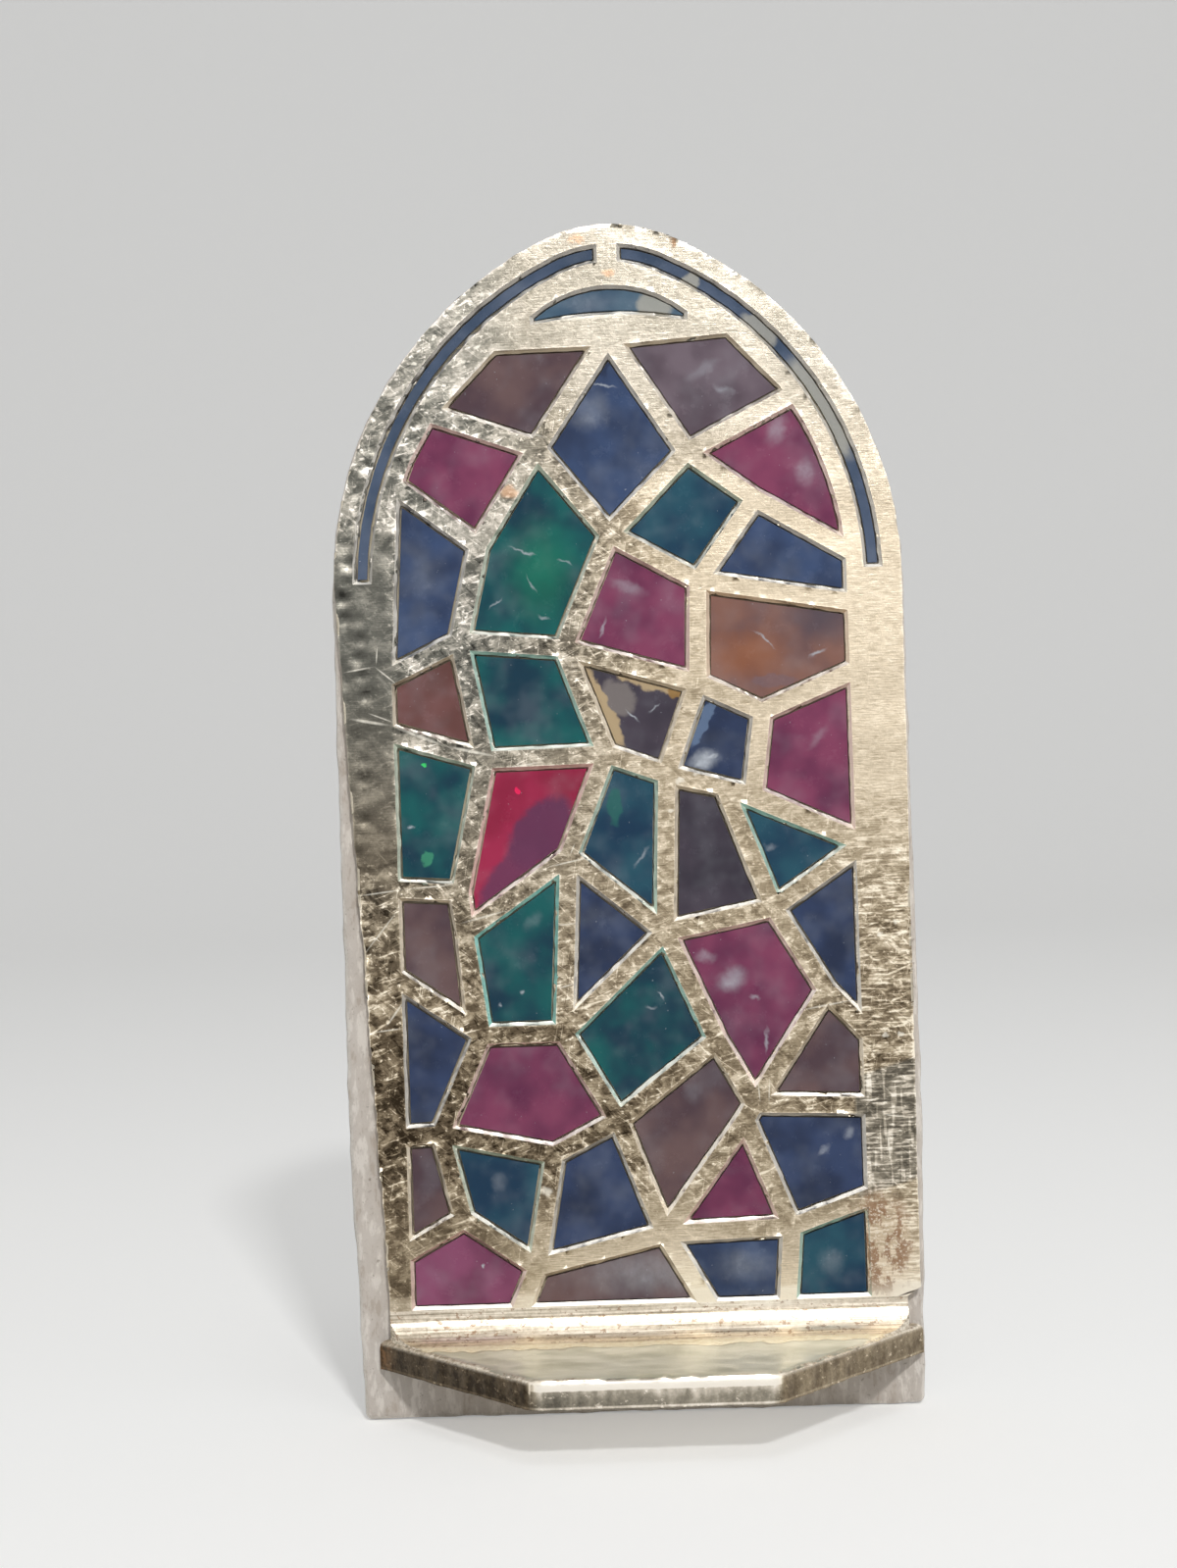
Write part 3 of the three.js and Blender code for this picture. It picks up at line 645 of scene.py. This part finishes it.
def lip_tone(paint, front):
    """The lip is dim, with painted light and shade: darkest to the left, on the side that faces away from
    the light, with painted highlights on its edges and corners, and a lighter middle part.
    """
    rise, band, x, z, facing_x = paint.rise, paint.band, paint.x, paint.z, paint.facing_x
    # Painted light and shade: lighter to the right, the sides darker, the left one, which faces away from
    # the light, darkest
    tone = 0.43 + 0.12 * rise(x, -4, 2)
    tone = tone - 0.1 * rise(facing_x, 0.1, 0.68) - 0.26 * rise(facing_x, -0.1, -0.68)
    # Painted highlights on the corners, towards the top of the front and along the edges
    corner_highlight = band(abs(facing_x), 0.15, 0.35, 0.15)
    tone = tone + 0.3 * corner_highlight * rise(z, LIP_FOOT, LIP_TOP)
    tone = tone + 0.2 * rise(z, LIP_FOOT + 0.3, LIP_TOP) * (0.2 + 0.8 * front)
    upper_edge_highlight = band(z, FLOOR_HEIGHT - 0.65, FLOOR_HEIGHT - 0.3, 0.1)
    side_edge_highlight = band(z, FLOOR_HEIGHT - 0.23, FLOOR_HEIGHT - 0.11, 0.06)
    lower_edge_highlight = band(z, LIP_FOOT + 0.1, LIP_FOOT + 0.16, 0.06)
    tone = tone + 0.5 * front * upper_edge_highlight + 0.34 * side_edge_highlight * (1 - front)
    tone = tone + 0.3 * lower_edge_highlight * (0.4 + 0.6 * front)
    blotch = paint.noise(0.7, detail=3, roughness=0.6, stretch=(1, 1, 1.6), offset=31)
    tone = tone + (blotch - 0.5) * 0.5 + (paint.mottle - 0.5) * 0.3 + (paint.fine - 0.5) * 0.15
    return tone + 0.24 * rise(paint.flake, 0.6, 0.68)


def stain_colour(paint):
    """The shelf's stain: a yellow border by the bend, and greyer, streaked film in front of it."""
    rise, mix = paint.rise, paint.mix
    border_y = BEND_FRONT - 1.3
    border = paint.y - border_y + (paint.noise(2.4, detail=2, offset=41) - 0.5) * 2.2
    streak = paint.noise(1.6, detail=2, roughness=0.5, stretch=(2.2, 1, 1), offset=45)
    film = mix(rise(streak, 0.3, 0.7), *FILM)
    yellow = mix(rise(paint.mottle, 0.3, 0.6), *YELLOW)
    stain = mix(rise(border, -0.15, 0.15), film, yellow)
    return mix(rise(abs(border), 0.14, 0.04) * 0.6, stain, STAIN_LINE)


def shelf_material():
    paint = Gilding("gilt_shelf")
    rise, mix, mottle, facing_z = paint.rise, paint.mix, paint.mottle, paint.facing_z
    colour = paint.gilt(bend_tone(paint), 0.4)
    rust = rise(paint.flake, 0.58, 0.64) * 0.9

    lip = rise(paint.z, FLOOR_HEIGHT - 0.05, LIP_TOP) * rise(facing_z, 0.9, 0.7)
    front = rise(abs(paint.facing_x), 0.68, 0.1)
    colour = mix(lip, colour, paint.gilt(lip_tone(paint, front), 0.7 * front))
    rust = rust * (1 - lip) + lip * rise(paint.x, -14.2, -15.4) * rise(mottle, 0.35, 0.6)

    floor = rise(facing_z, 0.85, 0.95) * rise(paint.y, BEND_FRONT, BEND_FRONT - 0.3)
    colour = mix(floor, colour, stain_colour(paint))
    colour = mix(rust * (1 - floor) * 0.7, colour, RUST)
    return paint.finish(colour, 0.24 + 0.2 * mottle, mottle, depth=0.02, metallic=1 - 0.7 * floor)


def ivory_material():
    paint = Paint("ivory", specular=0.3)
    rise, mix, noise = paint.rise, paint.mix, paint.noise
    cloud = noise(3, detail=4, roughness=0.6)
    fine = noise(0.25, detail=3, roughness=0.7, offset=3)
    streaks = noise(0.5, detail=3, roughness=0.6, stretch=(1, 1, 3), offset=13)
    specks = noise(0.5, detail=3, roughness=0.7, offset=9)
    colour = mix(cloud, *IVORY)
    colour = mix(rise(streaks, 0.5, 0.64) * 0.6, colour, IVORY_PALE)
    colour = mix(rise(streaks, 0.42, 0.32) * 0.4, colour, IVORY_BROWN)
    colour = mix(rise(fine, 0.55, 0.8) * 0.5, colour, IVORY_GREY)
    colour = mix(rise(specks, 0.64, 0.72) * 0.5, colour, IVORY_DIRT)
    # Painted highlight: the plate's edges and sides are paler than its front
    rim = rise(paint.facing_y, -0.97, -0.75) * rise(fine, 0.3, 0.6)
    colour = mix(rim * 0.7, colour, IVORY_RIM_HIGHLIGHT)
    return paint.finish(colour, 0.42 + 0.2 * cloud, fine, depth=0.02)


def film_material():
    paint = Paint("film", specular=0.3)
    cloud = paint.noise(1.5, detail=3)
    return paint.finish(paint.mix(cloud, *BOND), 0.5 + 0.1 * cloud)


def pane_material(name, look):
    """A pane's material, named after its look or, where it has marks of its own, after the pane."""
    paint = Paint(name, specular=0.22)
    rise, mix, noise = paint.rise, paint.mix, paint.noise
    cloud = noise(2.6, detail=2, roughness=0.5)
    haze = noise(0.9, detail=4, roughness=0.65, offset=5)
    fleck = noise(0.16, detail=1, roughness=0.5, offset=11)
    veil = noise(1.8, detail=2, offset=17)
    colour = mix(rise(cloud, 0.3, 0.7), *PANE_COLOURS[look])
    colour = mix(rise(veil, 0.4, 0.8) * 0.09 + rise(haze, 0.6, 0.85) * 0.07, colour, HAZE)
    colour = mix(rise(fleck, 0.78, 0.84) * 0.5, colour, HAZE)
    for x, z, length, width, turn, shade, strength in PANE_MARKS.get(name, []):
        mark = paint.spot(x, z, length, width, turn, core=0.1 if shade in SOFT else 0.7)
        density = haze * 0.8 + 0.1 if shade == HAZE else 0.9
        colour = mix(mark * density * strength, colour, shade)
    return paint.finish(colour, 0.2 + 0.25 * rise(haze, 0.5, 0.8), haze, depth=0.015)


# Meshes

def opened(node):
    """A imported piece's mesh in millimetres, with its corners joined and its flat faces whole."""
    mesh = bmesh.new()
    mesh.from_mesh(nodes[node].data)
    mesh.transform(Matrix.Scale(1 / MM, 4))
    bmesh.ops.remove_doubles(mesh, verts=mesh.verts, dist=WELD)
    bmesh.ops.dissolve_limit(mesh, angle_limit=FLAT_ANGLE, verts=mesh.verts, edges=mesh.edges)
    return mesh


def sliced(mesh, axis, low, high, step):
    """Cuts a mesh across an axis at even steps."""
    normal = Vector((0, 0, 0))
    normal[axis] = 1
    for place in np.arange(low + step / 2, high, step):
        whole = mesh.verts[:] + mesh.edges[:] + mesh.faces[:]
        bmesh.ops.bisect_plane(mesh, geom=whole, plane_co=normal * place, plane_no=normal, dist=CUT_SNAP)


def creased(mesh):
    """Shades a mesh smooth, apart from its sharp edges."""
    for face in mesh.faces:
        face.smooth = True
    for edge in mesh.edges:
        edge.smooth = edge.calc_face_angle(0) < SHARP_ANGLE


def waves(places, length, seed, count=24):
    """Smooth noise about 0, mostly within 1: seeded waves of about that length, summed."""
    random = np.random.default_rng(seed)
    directions = random.normal(size=(count, 3))
    directions /= np.linalg.norm(directions, axis=1, keepdims=True)
    lengths = length * random.uniform(0.7, 1.4, count)
    phases = random.uniform(0, 2 * math.pi, count)
    turns = 2 * math.pi * directions / lengths[:, None]
    return np.sin(places @ turns.T + phases).sum(axis=1) / math.sqrt(count)


def between(values, low, high):
    """0 up to one bound and 1 from the other on, straight between. The bounds may run down."""
    return np.clip((values - low) / (high - low), 0, 1)


def pressed(mesh, depth, low, high):
    """Moves each point inwards along its normal by a depth in millimetres, and keeps it in a box."""
    mesh.normal_update()
    places = np.array([vert.co for vert in mesh.verts])
    normals = np.array([vert.normal for vert in mesh.verts])
    moved = np.clip(places - normals * depth(places, normals)[:, None], low, high)
    for vert, place in zip(mesh.verts, moved):
        vert.co = place


def piece(mesh, name, node, slot, *materials):
    """Makes a finished mesh a piece of the plaque, in place of a packed one."""
    mesh.transform(Matrix.Scale(MM, 4))
    data = bpy.data.meshes.new(name)
    mesh.to_mesh(data)
    mesh.free()
    for material in materials:
        data.materials.append(material)
    made = bpy.data.objects.new(name, data)
    bpy.context.scene.collection.objects.link(made)
    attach(made, "root")
    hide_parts(node)


def pits():
    """Places, radii and depths of a row of pits along the left border and the left of the arch."""
    random = np.random.default_rng(5)
    spacing, scatter = 1.15, 0.16
    border_x, border_foot, arch_foot = -15.3, 9, 47.0
    centre_x, radius, arch_turn = 5.5, 21.6, math.radians(56)
    row = [(border_x, z) for z in np.arange(border_foot, arch_foot, spacing)]
    for angle in np.arange(0, arch_turn, spacing / radius):
        row.append((centre_x - radius * math.cos(angle), arch_foot + radius * math.sin(angle)))
    places = np.array(row) + random.normal(0, scatter, (len(row), 2))
    radii = random.uniform(0.35, 0.6, len(row))
    depths = random.uniform(0.05, 0.15, len(row))
    return zip(places, radii, depths)


def sheet_depth(places, normals):
    """How far the sheet is pressed in: slow waves, a crumpled left, uneven rims and shelf, and pits."""
    x, y, z = places.T
    upright = between(z, BEND_TOP, BEND_TOP + 1)
    rim = between(np.abs(normals[:, 1]), 0.93, 0.8) * upright
    worn = between(x, -4, -13) * upright
    shelf = between(y, BEND_FRONT, BEND_FRONT - 1)
    depth = 0.03 + 0.02 * waves(places, 5, seed=1)
    depth += worn * 0.03 * (1.5 + waves(places, 1.7, seed=3))
    depth += rim * 0.02 * (1 + waves(places, 0.9, seed=4))
    depth += shelf * 0.02 * (1 + waves(places * (1, 1, 0.3), 1.1, seed=6))
    for (pit_x, pit_z), radius, deep in pits():
        near = np.clip(1 - ((x - pit_x) ** 2 + (z - pit_z) ** 2) / radius ** 2, 0, 1)
        depth += deep * near ** 2 * upright
    return depth


def plate_depth(places, normals):
    """How far the plate is pressed in: slow waves, and an uneven rim."""
    rim = between(np.abs(normals[:, 1]), 0.95, 0.7)
    return 0.04 + 0.03 * waves(places, 4, seed=2) + rim * 0.03 * (1 + waves(places, 1.6, seed=7))


def glow_places():
    """Places along the edges of all panes, each with the glow of its pane."""
    spots = []
    for node, slot in slots.items():
        if slot in GLOWS:
            *colour, strength = GLOWS[slot]
            glow = linear(*colour, alpha=STRONG_GLOWS.get(node, strength))
            data = nodes[node].data
            for edge in data.edges:
                start, end = (data.vertices[i].co / MM for i in edge.vertices)
                count = 2 + int((end - start).length / GLOW_STEP)
                spots += [(start.lerp(end, i / (count - 1)), glow) for i in range(count)]
    return spots


def marked(mesh):
    """Stores at each point of the sheet the glow of the pane beside it and, on rims, their brightness."""
    spots = glow_places()
    tree = KDTree(len(spots))
    for i, (place, _) in enumerate(spots):
        tree.insert(place, i)
    tree.balance()
    glow_layer = mesh.verts.layers.float_color.new("glow")
    rim_layer = mesh.verts.layers.float.new("rim")
    for vert in mesh.verts:
        _, nearest, distance = tree.find(vert.co)
        beside = distance < GLOW_REACH
        vert[glow_layer] = spots[nearest][1] if beside else (0, 0, 0, 0)
        if not all(edge.smooth for edge in vert.link_edges):
            vert[rim_layer] = PANE_RIM if beside else FREE_RIM


def make_sheet():
    mesh = opened("front_sheet")
    sliced(mesh, 2, LIP_FOOT, sheet_high[2], SHEET_STEP)
    sliced(mesh, 1, SHELF_FRONT, SHEET_FACE, SHEET_STEP)
    sliced(mesh, 0, sheet_low[0], sheet_high[0], SHEET_STEP)
    for face in mesh.faces:
        face.material_index = int(face.calc_center_median().z < BEND_TOP)
    creased(mesh)
    marked(mesh)
    pressed(mesh, sheet_depth, sheet_low, sheet_high)
    piece(mesh, "gilt_sheet", "front_sheet", "gilt", sheet_material(), shelf_material())


def make_plate():
    mesh = opened("backing_plate")
    sliced(mesh, 2, plate_low[2], plate_high[2], PLATE_STEP)
    sliced(mesh, 0, plate_low[0], plate_high[0], PLATE_STEP)
    creased(mesh)
    pressed(mesh, plate_depth, plate_low, plate_high)
    piece(mesh, "ivory_plate", "backing_plate", "ivory", ivory_material())


def dress(node, material):
    shown = nodes[node]
    shown.data.materials.clear()
    shown.data.materials.append(material)


def soft_edges(node, width):
    bevel = nodes[node].modifiers.new("soft_edges", "BEVEL")
    bevel.width = width * MM
    bevel.segments = 2
    bevel.limit_method = "ANGLE"


def dress_panes():
    """Gives panes of one look the same material, and those with marks one of their own."""
    made = {}
    for node, slot in slots.items():
        if slot in GLOWS:
            look = PANE_LOOKS.get(node, slot)
            name = node if node in PANE_MARKS else look
            if name not in made:
                made[name] = pane_material(name, look)
            dress(node, made[name])
            soft_edges(node, PANE_ROUND)


# Floor, light and camera

def by_ray(tree, socket, lit, mirrored, seen):
    """Gives a socket one value for the light it casts, one for mirrors and glass, and one for the eye."""
    path = tree.nodes.new("ShaderNodeLightPath")
    value = lit
    for ray, shown in (
        ("Is Glossy Ray", mirrored),
        ("Is Transmission Ray", mirrored),
        ("Is Camera Ray", seen),
    ):
        choice = tree.nodes.new("ShaderNodeMapRange")
        tree.links.new(path.outputs[ray], choice.inputs["Value"])
        if value is lit:
            choice.inputs["To Min"].default_value = lit
        else:
            tree.links.new(value, choice.inputs["To Min"])
        choice.inputs["To Max"].default_value = shown
        value = choice.outputs["Result"]
    tree.links.new(value, socket)


def make_floor():
    """A pale sweep, in metres, that runs back along the floor and curves up behind."""
    front, behind, radius, height, width, steps = -0.6, 0.5, 0.3, 2, 2.4, 24
    profile = [(front, 0)]
    for turn in np.linspace(0, math.pi / 2, steps):
        profile.append((behind + radius * math.sin(turn), radius * (1 - math.cos(turn))))
    profile.append((behind + radius, height))
    mesh = bmesh.new()
    sides = []
    for x in (-width / 2, width / 2):
        sides.append([mesh.verts.new((x, y, z)) for y, z in profile])
    for i in range(len(profile) - 1):
        face = mesh.faces.new((sides[0][i], sides[1][i], sides[1][i + 1], sides[0][i + 1]))
        face.smooth = True
    data = bpy.data.meshes.new("floor")
    mesh.to_mesh(data)
    mesh.free()
    floor = bpy.data.objects.new("floor", data)
    bpy.context.scene.collection.objects.link(floor)
    paint = Paint("floor", roughness=0.9, specular=0.1)
    inputs = paint.shader.inputs
    inputs["Base Color"].default_value = (0.8, 0.8, 0.79, 1)
    inputs["Emission Color"].default_value = (1, 1, 0.99, 1)
    by_ray(paint.tree, inputs["Emission Strength"], lit=0, mirrored=FLOOR_GLOW, seen=FLOOR_GLOW)
    data.materials.append(paint.material)


def make_lamp(name, direction, size, power):
    """A square soft lamp that shines on the middle of the plaque from one direction."""
    data = bpy.data.lights.new(name, "AREA")
    data.size = size
    data.energy = power
    lamp = bpy.data.objects.new(name, data)
    bpy.context.scene.collection.objects.link(lamp)
    towards = Vector(direction).normalized()
    lamp.location = Vector((0, 0, PLATE_MIDDLE * MM)) + towards * LAMP_DISTANCE
    lamp.rotation_euler = towards.to_track_quat("Z", "Y").to_euler()


def make_world():
    world = bpy.data.worlds.new("studio")
    bpy.context.scene.world = world
    world.use_nodes = True
    background = world.node_tree.nodes["Background"].inputs
    background["Color"].default_value = (1, 1, 1, 1)
    by_ray(world.node_tree, background["Strength"], WORLD_LIGHT, WORLD_MIRRORED, WORLD_SEEN)


def make_camera():
    data = bpy.data.cameras.new("camera")
    data.sensor_fit = "VERTICAL"
    data.sensor_height = SENSOR_HEIGHT
    data.lens = FOCAL_PIXELS / IMAGE_HEIGHT * SENSOR_HEIGHT
    data.clip_start = NEAREST_SEEN
    camera = bpy.data.objects.new("camera", data)
    bpy.context.scene.collection.objects.link(camera)
    level = Matrix.Rotation(math.pi / 2, 4, "X")
    tilt = Matrix.Rotation(CAMERA_PITCH, 4, "X")
    turn = Matrix.Rotation(CAMERA_YAW, 4, "Z")
    roll = Matrix.Rotation(CAMERA_ROLL, 4, "Z")
    camera.matrix_world = Matrix.Translation(CAMERA_PLACE) @ turn @ tilt @ level @ roll
    bpy.context.scene.camera = camera


make_sheet()
make_plate()
dress("adhesive_film", film_material())
dress_panes()
make_floor()
for lamp, (direction, size, power) in LAMPS.items():
    make_lamp(lamp, direction, size, power)
make_world()
make_camera()
bpy.context.scene.view_settings.view_transform = "Standard"
